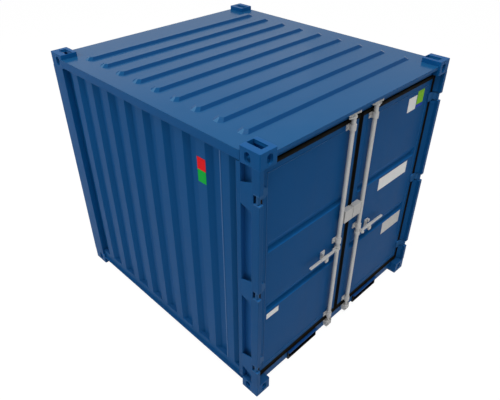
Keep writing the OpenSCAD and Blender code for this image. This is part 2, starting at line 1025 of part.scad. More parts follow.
// Lock bar: neck and collar at its foot, and a hub with the pivot of the handle
module lock_bar(right) {
    lug_low = handle_z - handle_h / 2;
    color(zinc)
        on_side(right)
            translate([-bar_x, 0, 0]) {
                translate([0, bar_y, 0]) {
                    translate([0, 0, neck_top_z])
                        cylinder(d = bar_d, h = bar_top_z - neck_top_z, $fn = arc);
                    translate([0, 0, collar_top_z - collar_h])
                        cylinder(d = collar_d, h = collar_h, $fn = arc);
                    translate([0, 0, collar_top_z - overcut])
                        cylinder(d = neck_d, h = neck_top_z - collar_top_z + 2 * overcut, $fn = arc);
                    translate([0, 0, lug_low])
                        cylinder(r = hub_r, h = handle_h, $fn = arc);
                }
                block(
                    [-pivot_out - pivot_d, lug_front, lug_low],
                    [0, lug_front + pivot_lug_t, lug_low + handle_h]
                );
                translate([-pivot_out, 0, handle_z])
                    run_y(handle_front - foot_t, bar_y)
                        circle(d = pivot_d, $fn = arc);
            }
}

// Cam of a lock bar: a tapered nose on a ring around the bar, below the claws of the keeper
module bar_cam(right) {
    root = bar_r + cam_rim / 2;
    color(zinc)
        on_side(right)
            translate([-bar_x, bar_y, claw_low_z - cam_gap - cam_t])
                linear_extrude(height = cam_t)
                    difference() {
                        union() {
                            circle(r = bar_r + cam_rim, $fn = arc);
                            polygon([
                                [0, -root],
                                [0, root],
                                [cam_t / 2 - cam_reach, cam_t / 2],
                                [-cam_reach, 0],
                                [cam_t / 2 - cam_reach, -cam_t / 2]
                            ]);
                        }
                        circle(r = bar_r + weld_gap, $fn = arc);
                    }
}

// Handle: an eye on the pivot, a neck, a wide stretch in the catch and a grip with a round end
module handle(right) {
    tip = handle_tip_h / 2 - handle_l;
    catch_mid = pivot_x - catch_x;
    stations = [
        [0, handle_neck_h],
        [catch_mid + catch_w, handle_neck_h],
        [catch_mid + catch_w / 2, handle_h],
        [catch_mid - catch_w / 2, handle_h],
        [catch_mid - catch_w, handle_tip_h],
        [tip, handle_tip_h]
    ];
    upper = [for (s = stations) [s[0], s[1] / 2]];
    lower = [for (i = [len(stations) - 1:-1:0]) [stations[i][0], -stations[i][1] / 2]];
    color(zinc)
        on_side(right)
            translate([-pivot_x, 0, handle_z])
                run_y(handle_front, handle_back)
                    difference() {
                        union() {
                            circle(d = handle_h, $fn = arc);
                            polygon(concat(upper, lower));
                            translate([tip, 0])
                                circle(d = handle_tip_h, $fn = arc);
                        }
                        circle(d = pivot_d + 2 * pin_play, $fn = arc);
                    }
}

top_casting(false, false);  // top_casting_front_left
top_casting(true, false);  // top_casting_front_right
top_casting(false, true);  // top_casting_rear_left
top_casting(true, true);  // top_casting_rear_right
bottom_casting(false, false);  // bottom_casting_front_left
bottom_casting(true, false);  // bottom_casting_front_right
bottom_casting(false, true);  // bottom_casting_rear_left
bottom_casting(true, true);  // bottom_casting_rear_right
front_post(false);  // front_post_left
front_post(true);  // front_post_right
rear_post(false);  // rear_post_left
rear_post(true);  // rear_post_right
hinge_gussets();
hinge_lugs();
top_rail(false);  // top_rail_left
top_rail(true);  // top_rail_right
rear_top_rail();
bottom_rail(false);  // bottom_rail_left
bottom_rail(true);  // bottom_rail_right
rear_bottom_rail();
door_header();
door_sill();
side_wall(false);  // side_wall_left
side_wall(true);  // side_wall_right
rear_wall();
roof_sheet();
floor_boards();
floor_cross_members();
fork_pocket(false);  // fork_pocket_left
fork_pocket(true);  // fork_pocket_right
top_keepers();
bottom_keepers();
leaf_frame(false);  // left_leaf_frame
leaf_panel(false);  // left_leaf_panel
leaf_seal(false);  // left_leaf_seal
leaf_hinges(false);  // left_leaf_hinges
bar_guides(false);  // left_bar_guides
handle_catch(false);  // left_handle_catch
lock_box(false);  // left_lock_box
leaf_frame(true);  // right_leaf_frame
leaf_panel(true);  // right_leaf_panel
leaf_seal(true);  // right_leaf_seal
leaf_hinges(true);  // right_leaf_hinges
bar_guides(true);  // right_bar_guides
handle_catch(true);  // right_handle_catch
lock_box(true);  // right_lock_box
lock_bar(false);  // left_lock_bar
lock_bar(true);  // right_lock_bar
bar_cam(false);  // left_bar_cam
bar_cam(true);  // right_bar_cam
handle(false);  // left_handle
handle(true);  // right_handle
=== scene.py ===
"""Looks of a small steel storage container with double end doors.

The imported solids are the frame. They keep their shapes and get procedural
finishes here, and the small forms that the solids leave out are modelled on
top of them: bolts, nuts, screws, rivets, lips of seals and catches, planks,
seams, beads, welds and bare plates.
"""

import json
import logging
import math
from dataclasses import dataclass, field, replace
from enum import Enum

import bmesh
import bpy
from mathutils import Matrix, Vector

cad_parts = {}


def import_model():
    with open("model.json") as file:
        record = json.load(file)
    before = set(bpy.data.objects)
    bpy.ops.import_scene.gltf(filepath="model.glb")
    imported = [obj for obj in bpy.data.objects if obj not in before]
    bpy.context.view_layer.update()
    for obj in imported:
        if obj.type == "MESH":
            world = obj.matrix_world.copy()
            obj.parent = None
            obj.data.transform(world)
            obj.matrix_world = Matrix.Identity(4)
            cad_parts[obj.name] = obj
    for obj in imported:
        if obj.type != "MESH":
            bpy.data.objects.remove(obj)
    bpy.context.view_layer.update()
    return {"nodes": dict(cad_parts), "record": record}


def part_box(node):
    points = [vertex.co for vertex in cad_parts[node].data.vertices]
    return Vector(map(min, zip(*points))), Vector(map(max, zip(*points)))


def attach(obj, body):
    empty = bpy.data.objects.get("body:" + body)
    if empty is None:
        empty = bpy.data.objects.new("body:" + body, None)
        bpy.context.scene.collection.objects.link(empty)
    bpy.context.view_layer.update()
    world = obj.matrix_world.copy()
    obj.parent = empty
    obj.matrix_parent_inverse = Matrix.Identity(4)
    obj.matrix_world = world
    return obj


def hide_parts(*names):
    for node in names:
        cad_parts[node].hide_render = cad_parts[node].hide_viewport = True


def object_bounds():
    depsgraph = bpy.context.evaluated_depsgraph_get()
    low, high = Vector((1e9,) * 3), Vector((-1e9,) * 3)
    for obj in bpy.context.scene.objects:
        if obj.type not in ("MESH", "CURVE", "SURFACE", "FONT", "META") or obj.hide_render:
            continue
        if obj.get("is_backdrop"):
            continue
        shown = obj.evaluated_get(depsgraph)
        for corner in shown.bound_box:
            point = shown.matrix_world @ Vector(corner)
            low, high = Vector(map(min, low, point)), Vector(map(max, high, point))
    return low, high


LOG = logging.getLogger("container")
Rgb = tuple[float, float, float]
Triple = tuple[float, float, float]  # X, Y and Z
Pair = tuple[float, float]  # two coordinates, sizes or shares
Span = tuple[float, float]  # low and high end
Noise = tuple[float, float]  # scale in 1/m and octaves
Remap = tuple[float, float, float, float]  # low end, high end and the results there
Box2 = tuple[float, float, float, float]  # low X, low Z, high X and high Z
Socket = bpy.types.NodeSocket
BLACK: Rgb = (0.0, 0.0, 0.0)
WHITE: Rgb = (1.0, 1.0, 1.0)
ROUND_PROFILE = 0.5


class Slot(Enum):
    """Material slots of the record."""

    PAINT = "painted_steel"
    ZINC = "galvanised_steel"
    RUBBER = "seal_rubber"
    WOOD = "floor_wood"


class Side(Enum):
    """Left or right half of the box; the value is the sign of X."""

    LEFT = -1
    RIGHT = 1

    @property
    def word(self) -> str:
        """Name of the side as the nodes spell it."""
        return self.name.lower()


class Axis(Enum):
    """Direction that a fastener's head or a plate's face points to."""

    FRONT = (0.0, -1.0, 0.0)
    UP = (0.0, 0.0, 1.0)
    LEFT = (-1.0, 0.0, 0.0)

    @property
    def vector(self) -> Vector:
        """The direction as a vector."""
        return Vector(self.value)


class Graph:
    """Thin wrapper that adds and links shader nodes."""

    def __init__(self, tree: bpy.types.NodeTree) -> None:
        """Start on an empty tree.

        Args:
            tree: Node tree of a material, a world or a group.
        """
        self.tree = tree
        tree.nodes.clear()

    def add(self, kind: str, **inputs: object) -> bpy.types.Node:
        """Add a node and fill its inputs.

        Args:
            kind: Node type without the ShaderNode prefix, or a full type name.
            inputs: Socket values or output sockets by input name, with _ for a blank.

        Returns:
            The new node.
        """
        full = kind if kind.startswith("NodeGroup") else f"ShaderNode{kind}"
        node = self.tree.nodes.new(full)
        for name, value in inputs.items():
            self.put(node.inputs[name.replace("_", " ")], value)
        return node

    def put(self, socket: Socket, value: object) -> None:
        """Set a socket to a value, or link it if the value is a socket.

        Args:
            socket: Input socket.
            value: Value or output socket.
        """
        if isinstance(value, Socket):
            self.tree.links.new(value, socket)
        else:
            socket.default_value = value

    def group(self, tree: bpy.types.NodeTree, **inputs: object) -> bpy.types.Node:
        """Place a node group and fill its inputs.

        Args:
            tree: Node tree of the group.
            inputs: Socket values or output sockets by input name.

        Returns:
            The new node.
        """
        node = self.add("Group")
        node.node_tree = tree
        for name, value in inputs.items():
            self.put(node.inputs[name], value)
        return node

    def math(self, operation: str, a: object, b: object = 0.0) -> Socket:
        """Add a math node.

        Args:
            operation: Blender's name of the operation.
            a: First value or socket.
            b: Second value or socket.

        Returns:
            The output socket.
        """
        node = self.add("Math")
        node.operation = operation
        self.put(node.inputs[0], a)
        self.put(node.inputs[1], b)
        return node.outputs[0]

    def plus(self, a: object, b: object) -> Socket:
        """Sum of two values."""
        return self.math("ADD", a, b)

    def minus(self, a: object, b: object) -> Socket:
        """First value less the second."""
        return self.math("SUBTRACT", a, b)

    def times(self, a: object, b: object) -> Socket:
        """Product of two values."""
        return self.math("MULTIPLY", a, b)

    def unsigned(self, a: object) -> Socket:
        """Value without its sign."""
        return self.math("ABSOLUTE", a)

    def ramp(self, value: object, low: object, high: object, start: object = 0.0,
             end: object = 1.0) -> Socket:
        """Value that runs from start to end while another runs from low to high, clamped."""
        node = self.add("MapRange", Value=value, From_Min=low, From_Max=high, To_Min=start, To_Max=end)
        return node.outputs["Result"]

    def mix(self, factor: object, a: object, b: object) -> Socket:
        """Mix two colours.

        Args:
            factor: Share of the second colour.
            a: First colour or socket.
            b: Second colour or socket.

        Returns:
            The output socket.
        """
        # The node has sockets for every data type; those used here are the colour ones.
        node = self.add("Mix")
        node.data_type = "RGBA"
        self.put(node.inputs[0], factor)
        self.put(node.inputs[6], rgba(a))
        self.put(node.inputs[7], rgba(b))
        return node.outputs[2]

    def noise(self, vector: object, scale: float, detail: float) -> Socket:
        """Noise over coordinates, with its scale in 1/m and its octaves."""
        return self.add("TexNoise", Vector=vector, Scale=scale, Detail=detail).outputs["Fac"]

    def stretched(self, vector: object, scale: Triple) -> Socket:
        """Coordinates scaled by axis."""
        return self.add("Mapping", Vector=vector, Scale=scale).outputs["Vector"]

    def spot(self) -> Socket:
        """Place of the shaded point in its object's frame."""
        return self.add("TexCoord").outputs["Object"]

    def split(self, vector: object) -> bpy.types.NodeOutputs:
        """X, Y and Z of a vector."""
        return self.add("SeparateXYZ", Vector=vector).outputs

    def lean(self) -> bpy.types.NodeOutputs:
        """X, Y and Z of the surface's normal."""
        return self.split(self.add("TexCoord").outputs["Normal"])

    def seen(self) -> Socket:
        """1 for a ray that the camera sees, also in a mirror or through glass, else 0."""
        ray = self.add("LightPath").outputs
        direct = self.math("MAXIMUM", ray["Is Camera Ray"], ray["Is Glossy Ray"])
        return self.math("MAXIMUM", direct, ray["Is Transmission Ray"])

    def surface(self, bsdf: bpy.types.Node, color: Socket, roughness: Socket, **bump: object) -> None:
        """Link a shader's colour, roughness and bumps.

        Args:
            bsdf: The shader.
            color: Its colour.
            roughness: Its roughness.
            bump: Inputs of the bump node by name.
        """
        self.put(bsdf.inputs["Base Color"], color)
        self.put(bsdf.inputs["Roughness"], roughness)
        self.put(bsdf.inputs["Normal"], self.add("Bump", **bump).outputs["Normal"])


def rgba(value: object) -> object:
    """Give a colour its alpha; sockets pass through."""
    return (*value, 1.0) if isinstance(value, tuple) and len(value) == 3 else value


class ShaderGroup:
    """Node group that is built on first use and then shared."""

    NAME = ""
    TAKES: tuple[tuple[str, str], ...] = ()
    GIVES: tuple[tuple[str, str], ...] = ()

    @classmethod
    def get(cls) -> bpy.types.NodeTree:
        """Return the group, built on first use."""
        return bpy.data.node_groups.get(cls.NAME) or cls._build()

    @classmethod
    def _build(cls) -> bpy.types.NodeTree:
        """Build the group's sockets and nodes.

        Returns:
            The new group.
        """
        tree = bpy.data.node_groups.new(cls.NAME, "ShaderNodeTree")
        for way, sockets in (("INPUT", cls.TAKES), ("OUTPUT", cls.GIVES)):
            for name, kind in sockets:
                tree.interface.new_socket(name=name, in_out=way, socket_type=f"NodeSocket{kind}")
        g = Graph(tree)
        g.add("NodeGroupOutput", **cls._nodes(g, g.add("NodeGroupInput").outputs))
        return tree

    @classmethod
    def _nodes(cls, g: Graph, given: bpy.types.NodeOutputs) -> dict[str, Socket]:
        """Add the nodes between the group's inputs and outputs.

        Args:
            g: Graph of the group.
            given: The group's inputs.

        Returns:
            The group's results by name.
        """
        raise NotImplementedError


class WeatherGroup(ShaderGroup):
    """Tone drift, painted light on faces that look down, rain streaks, dust on top and grime low down.
    Where the dust colour is lighter than the paint, the dust on top is a painted highlight instead.
    """

    NAME = "weather"
    TAKES = (("Color", "Color"), ("Film", "Color"), ("Roughness", "Float"), ("Drift", "Float"),
             ("Streaks", "Float"), ("Dust", "Float"), ("Shelter", "Float"), ("Grime", "Float"))
    GIVES = (("Color", "Color"), ("Roughness", "Float"), ("Height", "Float"))
    GRIME: Rgb = (0.035, 0.036, 0.036)
    NOISE_MEAN = 0.5
    BROAD: Noise = (1.7, 4.0)
    PATCH: Noise = (7.0, 5.0)
    FINE: Noise = (320.0, 2.0)
    RUN: Noise = (1.0, 4.0)
    RUN_STRETCH: Triple = (17.0, 17.0, 0.6)
    RUN_RANGE: Span = (0.52, 0.75)
    TOP_RANGE: Span = (0.55, 0.98)
    TOP_PATCH_RANGE: Remap = (0.25, 0.75, 0.55, 1.0)
    SPLASH_LEVEL: Span = (0.42, 0.02)
    SPLASH_RANGE: Span = (0.38, 0.66)
    PATCH_ROUGHNESS = 0.16
    DIRT_ROUGHNESS = 0.25
    FINE_HEIGHT = 0.25

    @classmethod
    def _nodes(cls, g: Graph, given: bpy.types.NodeOutputs) -> dict[str, Socket]:
        """Add the nodes that weather a colour.

        Args:
            g: Graph of the group.
            given: The group's inputs.

        Returns:
            The group's results by name.
        """
        spot = g.spot()
        up = g.lean()["Z"]
        broad, patch, fine = (g.noise(spot, *noise) for noise in (cls.BROAD, cls.PATCH, cls.FINE))
        swing = g.times(g.minus(broad, cls.NOISE_MEAN), given["Drift"])
        # Painted light: faces that look down are painted lighter, standing in for light thrown up from the
        # floor.
        lit_underside = g.times(g.ramp(up, 0.0, -1.0), given["Shelter"])
        tone = g.plus(g.plus(1.0, swing), lit_underside)
        color = g.add("HueSaturation", Color=given["Color"], Value=tone).outputs["Color"]
        upright = g.minus(1.0, g.unsigned(up))
        run = g.ramp(g.noise(g.stretched(spot, cls.RUN_STRETCH), *cls.RUN), *cls.RUN_RANGE)
        color = g.mix(g.times(g.times(run, upright), given["Streaks"]), color, cls.GRIME)
        # Dust on faces that look up. With a dust colour lighter than the paint, as on the doors and hinges,
        # this is a painted highlight on those faces.
        patchy_tops = g.times(g.ramp(up, *cls.TOP_RANGE), g.ramp(patch, *cls.TOP_PATCH_RANGE))
        dust = g.times(patchy_tops, given["Dust"])
        color = g.mix(dust, color, given["Film"])
        low = g.ramp(g.split(spot)["Z"], *cls.SPLASH_LEVEL)
        grime = g.times(g.times(low, g.ramp(patch, *cls.SPLASH_RANGE)), given["Grime"])
        color = g.mix(grime, color, cls.GRIME)
        uneven = g.times(g.minus(patch, cls.NOISE_MEAN), cls.PATCH_ROUGHNESS)
        dirty = g.times(g.plus(dust, grime), cls.DIRT_ROUGHNESS)
        rough = g.plus(g.plus(given["Roughness"], uneven), dirty)
        height = g.plus(g.times(fine, cls.FINE_HEIGHT), patch)
        return {"Color": color, "Roughness": rough, "Height": height}


class EdgeGroup(ShaderGroup):
    """Rounded-edge normal and a mask of the edges that are sharp enough."""

    NAME = "edges"
    TAKES = (("Radius", "Float"), ("Bend", "Float"))
    GIVES = (("Mask", "Float"), ("Normal", "Vector"))
    SAMPLES = 6
    ONSET = 0.075
    BREAKS: Noise = (22.0, 4.0)
    BREAK_RANGE: Remap = (0.30, 0.62, 0.35, 1.0)

    @classmethod
    def _nodes(cls, g: Graph, given: bpy.types.NodeOutputs) -> dict[str, Socket]:
        """Add the nodes that find the edges.

        Args:
            g: Graph of the group.
            given: The group's inputs.

        Returns:
            The group's results by name.
        """
        bevel = g.add("Bevel", Radius=given["Radius"])
        bevel.samples = cls.SAMPLES
        rounded = bevel.outputs["Normal"]
        dot = g.add("VectorMath")
        dot.operation = "DOT_PRODUCT"
        g.put(dot.inputs[0], rounded)
        g.put(dot.inputs[1], g.add("NewGeometry").outputs["Normal"])
        onset = g.minus(1.0, g.times(given["Bend"], cls.ONSET))
        spread = g.ramp(dot.outputs["Value"], onset, g.minus(1.0, given["Bend"]))
        broken = g.ramp(g.noise(g.spot(), *cls.BREAKS), *cls.BREAK_RANGE)
        return {"Mask": g.times(spread, broken), "Normal": rounded}


def shader(name: str, **constants: object) -> tuple[bpy.types.Material, Graph, bpy.types.Node]:
    """Start a material with one principled shader.

    Args:
        name: Material name.
        constants: Principled inputs by name, with _ for a blank.

    Returns:
        The material, its graph and the shader node.
    """
    material = bpy.data.materials.new(name)
    material.use_nodes = True
    g = Graph(material.node_tree)
    node = g.add("BsdfPrincipled", **constants)
    g.add("OutputMaterial", Surface=node.outputs["BSDF"])
    return material, g, node


@dataclass(frozen=True)
class PaintFinish:
    """Sprayed paint on steel: weather, edges that are partly worn and partly lit by a painted highlight,
    painted light in hollows and on faces that look down, painted highlights on groove ledges and rib ends,
    and painted shade in grooves, on rib flanks and below a set height.
    """

    name: str
    color: Rgb
    roughness: float = 0.42
    gloss: float = 0.15
    ior: float = 1.45
    drift: float = 0.10
    streaks: float = 0.05
    dust: float = 0.03
    film: Rgb = (0.30, 0.36, 0.43)
    shelter: float = 0.0
    grime: float = 0.12
    edge_color: Rgb = (0.012, 0.130, 0.360)
    edge_share: float = 0.5
    edge_radius: float = 0.004
    edge_bend: float = 0.20
    bump: float = 0.04
    bump_depth: float = 0.002
    dark_below: float | None = None
    dark_blur: float = 0.002
    dark_color: Rgb = (0.004, 0.004, 0.004)
    hollows: tuple[tuple[Triple, Triple], ...] = ()
    hollow_blur: float = 0.001
    hollow_light_color: Rgb = (0.010, 0.125, 0.360)
    pressed: Span | None = None
    pressed_shade: float = 0.10
    pressed_highlight: Span = (0.12, 0.44)
    rib_light_and_shade: float = 0.0
    flank_lean: Span = (0.25, 0.60)
    flank_shade_color: Rgb = (0.002, 0.022, 0.130)
    tip_lean: Span = (0.42, 0.50)
    tip_rise: Span = (0.5, 0.6)
    tip_highlight_color: Rgb = (0.100, 0.240, 0.420)

    def material(self) -> bpy.types.Material:
        """Build the material."""
        material, g, bsdf = shader(self.name, IOR=self.ior, Specular_IOR_Level=self.gloss)
        weather = g.group(WeatherGroup.get(), Color=rgba(self.color), Film=rgba(self.film),
                          Roughness=self.roughness, Drift=self.drift, Streaks=self.streaks,
                          Dust=self.dust, Shelter=self.shelter, Grime=self.grime)
        edges = g.group(EdgeGroup.get(), Radius=self.edge_radius, Bend=self.edge_bend)
        # Edges are painted in a lighter colour: partly worn paint, partly a painted highlight.
        edge_wear_and_highlight = g.times(edges.outputs["Mask"], self.edge_share)
        color = g.mix(edge_wear_and_highlight, weather.outputs["Color"], self.edge_color)
        # Painted shade that deepens down the pressed grooves, and a painted highlight on the shallow part
        # of each groove's ledge.
        if self.pressed:
            depth = g.ramp(g.split(g.spot())["Y"], *self.pressed)
            g.put(weather.inputs["Dust"], g.ramp(depth, *self.pressed_highlight, self.dust, 0.0))
            color = g.mix(g.times(depth, self.pressed_shade), color, BLACK)
        # Painted shade: below a set height the part is painted near black.
        if self.dark_below:
            low = g.ramp(g.split(g.spot())["Z"], self.dark_below, self.dark_below - self.dark_blur)
            color = g.mix(low, color, self.dark_color)
        # Painted light: the insides of hollows are painted lighter, standing in for light that reaches into
        # them.
        for near, far in self.hollows:
            color = g.mix(self._inside(g, near, far), color, self.hollow_light_color)
        if self.rib_light_and_shade:
            color = self._flanked(g, color)
        g.surface(bsdf, color, weather.outputs["Roughness"], Height=weather.outputs["Height"],
                  Normal=edges.outputs["Normal"], Strength=self.bump, Distance=self.bump_depth)
        return material

    def _inside(self, g: Graph, near: Triple, far: Triple) -> Socket:
        """Mask of a hollow at each corner of the box.

        Args:
            g: Graph of the material.
            near: Distance of the hollow's outer sides from the box's outer faces.
            far: Distance of the hollow's inner sides from the box's outer faces.

        Returns:
            The mask's socket.
        """
        place = g.split(g.spot())
        mask = 1.0
        for axis, low, high, outer, inner in zip("XYZ", *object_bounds(), near, far):
            half = (high - low) / 2
            away = g.unsigned(g.minus(place[axis], low + half))
            mask = g.times(mask, g.ramp(away, half - outer + self.hollow_blur, half - outer))
            mask = g.times(mask, g.ramp(away, half - inner - self.hollow_blur, half - inner))
        return mask

    def _flanked(self, g: Graph, color: Socket) -> Socket:
        """Paint shade on the flanks of ribs that lie along X, and paint a highlight on their sloped ends.

        Args:
            g: Graph of the material.
            color: Colour so far.

        Returns:
            The new colour.
        """
        lean = g.lean()
        flank = g.ramp(g.unsigned(lean["Y"]), *self.flank_lean, 0.0, self.rib_light_and_shade)
        tip = g.times(g.ramp(g.unsigned(lean["X"]), *self.tip_lean), g.ramp(lean["Z"], *self.tip_rise))
        color = g.mix(flank, color, self.flank_shade_color)
        return g.mix(g.times(tip, self.rib_light_and_shade), color, self.tip_highlight_color)


@dataclass(frozen=True)
class ZincFinish:
    """Hot-dip zinc on steel: crystal spangle, dull patches, and a painted highlight on the edges."""

    name: str
    light: Rgb = (0.62, 0.61, 0.595)
    dark: Rgb = (0.54, 0.535, 0.52)
    roughness: float = 0.46
    crystal_roughness: float = 0.12
    metallic: float = 0.12
    ior: float = 1.5
    spangle: float = 130.0
    spangle_share: float = 0.45
    cloud: Noise = (9.0, 4.0)
    cloud_range: Remap = (0.35, 0.7, 0.0, 0.55)
    edge_color: Rgb = (0.82, 0.81, 0.79)
    edge_share: float = 0.5
    edge_radius: float = 0.003
    edge_bend: float = 0.20
    bump: float = 0.06
    bump_depth: float = 0.002

    def material(self) -> bpy.types.Material:
        """Build the material."""
        material, g, bsdf = shader(self.name, Metallic=self.metallic, IOR=self.ior)
        spot = g.spot()
        cells = g.add("TexVoronoi", Vector=spot, Scale=self.spangle).outputs["Color"]
        crystal = g.add("SeparateColor", Color=cells).outputs["Red"]
        cloud = g.noise(spot, *self.cloud)
        share = g.plus(g.times(crystal, self.spangle_share), g.ramp(cloud, *self.cloud_range))
        color = g.mix(share, self.light, self.dark)
        edges = g.group(EdgeGroup.get(), Radius=self.edge_radius, Bend=self.edge_bend)
        # Painted highlight: the zinc's edges are painted lighter.
        color = g.mix(g.times(edges.outputs["Mask"], self.edge_share), color, self.edge_color)
        rough = g.plus(self.roughness, g.times(crystal, self.crystal_roughness))
        g.surface(bsdf, color, rough, Height=cloud, Normal=edges.outputs["Normal"],
                  Strength=self.bump, Distance=self.bump_depth)
        return material


@dataclass(frozen=True)
class RubberFinish:
    """Matt black extruded rubber with a faint bloom."""

    name: str
    color: Rgb = (0.0060, 0.0054, 0.0036)
    bloom: Rgb = (0.0120, 0.0110, 0.0080)
    gloss: float = 0.03
    ior: float = 1.5
    cloud: Noise = (12.0, 4.0)
    grit: Noise = (500.0, 2.0)
    bloom_range: Remap = (0.4, 0.8, 0.0, 0.6)
    roughness_range: Remap = (0.2, 0.8, 0.55, 0.75)
    bump: float = 0.12
    bump_depth: float = 0.001

    def material(self) -> bpy.types.Material:
        """Build the material."""
        material, g, bsdf = shader(self.name, IOR=self.ior, Specular_IOR_Level=self.gloss)
        spot = g.spot()
        cloud = g.noise(spot, *self.cloud)
        color = g.mix(g.ramp(cloud, *self.bloom_range), self.color, self.bloom)
        g.surface(bsdf, color, g.ramp(cloud, *self.roughness_range), Height=g.noise(spot, *self.grit),
                  Strength=self.bump, Distance=self.bump_depth)
        return material


@dataclass(frozen=True)
class WoodFinish:
    """Sealed floor planks with grain along Y and scuffed tops."""

    name: str
    light: Rgb = (0.33, 0.19, 0.095)
    dark: Rgb = (0.15, 0.078, 0.038)
    scuffed: Rgb = (0.25, 0.22, 0.19)
    ior: float = 1.45
    grain: Noise = (1.0, 6.0)
    grain_stretch: Triple = (60.0, 2.2, 60.0)
    grain_range: Remap = (0.35, 0.7, 0.0, 0.7)
    tone: Noise = (1.0, 1.0)
    tone_stretch: Triple = (4.4, 0.4, 1.0)
    tone_range: Remap = (0.3, 0.7, 0.0, 0.3)
    scuff: Noise = (5.0, 5.0)
    scuff_range: Span = (0.45, 0.75)
    scuff_share: float = 0.3
    roughness_range: Remap = (0.3, 0.7, 0.5, 0.7)
    bump: float = 0.25
    bump_depth: float = 0.002

    def material(self) -> bpy.types.Material:
        """Build the material."""
        material, g, bsdf = shader(self.name, IOR=self.ior)
        spot = g.spot()
        grain = g.noise(g.stretched(spot, self.grain_stretch), *self.grain)
        tone = g.noise(g.stretched(spot, self.tone_stretch), *self.tone)
        scuff = g.ramp(g.noise(spot, *self.scuff), *self.scuff_range)
        share = g.plus(g.ramp(grain, *self.grain_range), g.ramp(tone, *self.tone_range))
        color = g.mix(share, self.light, self.dark)
        color = g.mix(g.times(scuff, self.scuff_share), color, self.scuffed)
        g.surface(bsdf, color, g.ramp(grain, *self.roughness_range), Height=grain,
                  Strength=self.bump, Distance=self.bump_depth)
        return material


Finish = PaintFinish | ZincFinish | RubberFinish | WoodFinish


class Finishes:
    """Every finish on the box, built once."""

    FRAME = PaintFinish("frame_paint", (0.004, 0.082, 0.252), gloss=0.05)
    # Roof: painted shade on the rib flanks and painted highlights on the rib ends.
    ROOF = PaintFinish("roof_paint", (0.003, 0.083, 0.230), roughness=0.18, gloss=0.05, streaks=0.0,
                       rib_light_and_shade=0.42)
    WALL = replace(FRAME, name="wall_paint")
    # Doors: faces that look up get a light dust colour, which is a painted highlight, and faces that look
    # down are painted lighter, which is painted light.
    DOOR = PaintFinish("door_paint", (0.004, 0.080, 0.250), gloss=0.035, dust=1.0,
                       film=(0.015, 0.180, 0.540), shelter=0.6, edge_bend=0.03)
    PANEL = replace(DOOR, name="panel_paint", pressed=(-1.150, -1.125))
    # Welds: painted lighter than the doors, a painted highlight along the bead.
    WELD = PaintFinish("weld_paint", (0.014, 0.104, 0.290), gloss=0.12, edge_share=0.2)
    # Hinges: painted lighter than the doors, and lighter still on faces that look up: painted highlight.
    HINGE = PaintFinish("hinge_paint", (0.016, 0.100, 0.265), gloss=0.08, dust=0.8,
                        film=(0.03, 0.180, 0.480))
    # Castings, feet and posts: the insides of their hollows are painted lighter, as painted light.
    CASTING = PaintFinish("casting_paint", (0.004, 0.086, 0.265), gloss=0.05, edge_share=0.35,
                          hollows=(((0.010, 0.010, 0.010), (0.130, 0.155, 0.108)),))
    FOOT = replace(CASTING, name="foot_paint", hollow_light_color=(0.016, 0.200, 0.560))
    POST = PaintFinish("post_paint", (0.004, 0.078, 0.240), gloss=0.05, edge_share=0.25,
                       hollows=(((0.004, 0.004, 0.0), (0.030, 0.054, 1.10)),
                                ((0.003, 0.064, 0.0), (0.045, 0.165, 1.10))),
                       hollow_light_color=(0.012, 0.100, 0.305))
    # Seam: painted lighter than the wall, a painted highlight along the lap edge.
    SEAM = PaintFinish("seam_paint", (0.030, 0.130, 0.330), gloss=0.25, edge_share=0.2)
    # Fork pockets are painted near black below the lip: painted shade inside them.
    POCKET = PaintFinish("pocket_paint", (0.002, 0.075, 0.300), grime=0.0, dark_below=0.103)
    UNDER = PaintFinish("under_coat", (0.006, 0.007, 0.008), roughness=0.7, edge_share=0.1)
    RED_FOIL = PaintFinish("red_foil", (0.80, 0.012, 0.016), gloss=0.04, drift=0.06,
                           edge_color=(0.80, 0.05, 0.05))
    GREEN_FOIL = replace(RED_FOIL, name="green_foil", color=(0.006, 0.44, 0.055),
                         edge_color=(0.03, 0.48, 0.08))
    LIME_FOIL = replace(RED_FOIL, name="lime_foil", color=(0.250, 0.600, 0.030),
                        edge_color=(0.30, 0.62, 0.08))
    BLUE_FOIL = replace(RED_FOIL, name="blue_foil", color=(0.020, 0.060, 0.480),
                        edge_color=(0.05, 0.10, 0.50))
    WHITE_FOIL = PaintFinish("white_foil", (0.93, 0.93, 0.91), edge_color=(0.94, 0.94, 0.92), drift=0.04)
    ZINC = ZincFinish("zinc_coat")
    DULL_ZINC = ZincFinish("dull_zinc", light=(0.54, 0.53, 0.515), dark=(0.46, 0.455, 0.445))
    RUBBER = RubberFinish("seal_black")
    WOOD = WoodFinish("floor_plank")

    def __init__(self) -> None:
        """Start with no material built."""
        self._made: dict[str, bpy.types.Material] = {}

    def get(self, finish: Finish) -> bpy.types.Material:
        """Return a finish's material.

        Args:
            finish: One of the finishes above.

        Returns:
            The material, built on first use.
        """
        if finish.name not in self._made:
            self._made[finish.name] = finish.material()
        return self._made[finish.name]


def dress(node: bpy.types.Object, material: bpy.types.Material) -> None:
    """Give an object one material, in place of those it has."""
    node.data.materials.clear()
    node.data.materials.append(material)


@dataclass(frozen=True)
class Lamp:
    """Area lamp: place and size in metres, power in watts."""

    name: str
    place: Triple
    size: Pair
    power: float


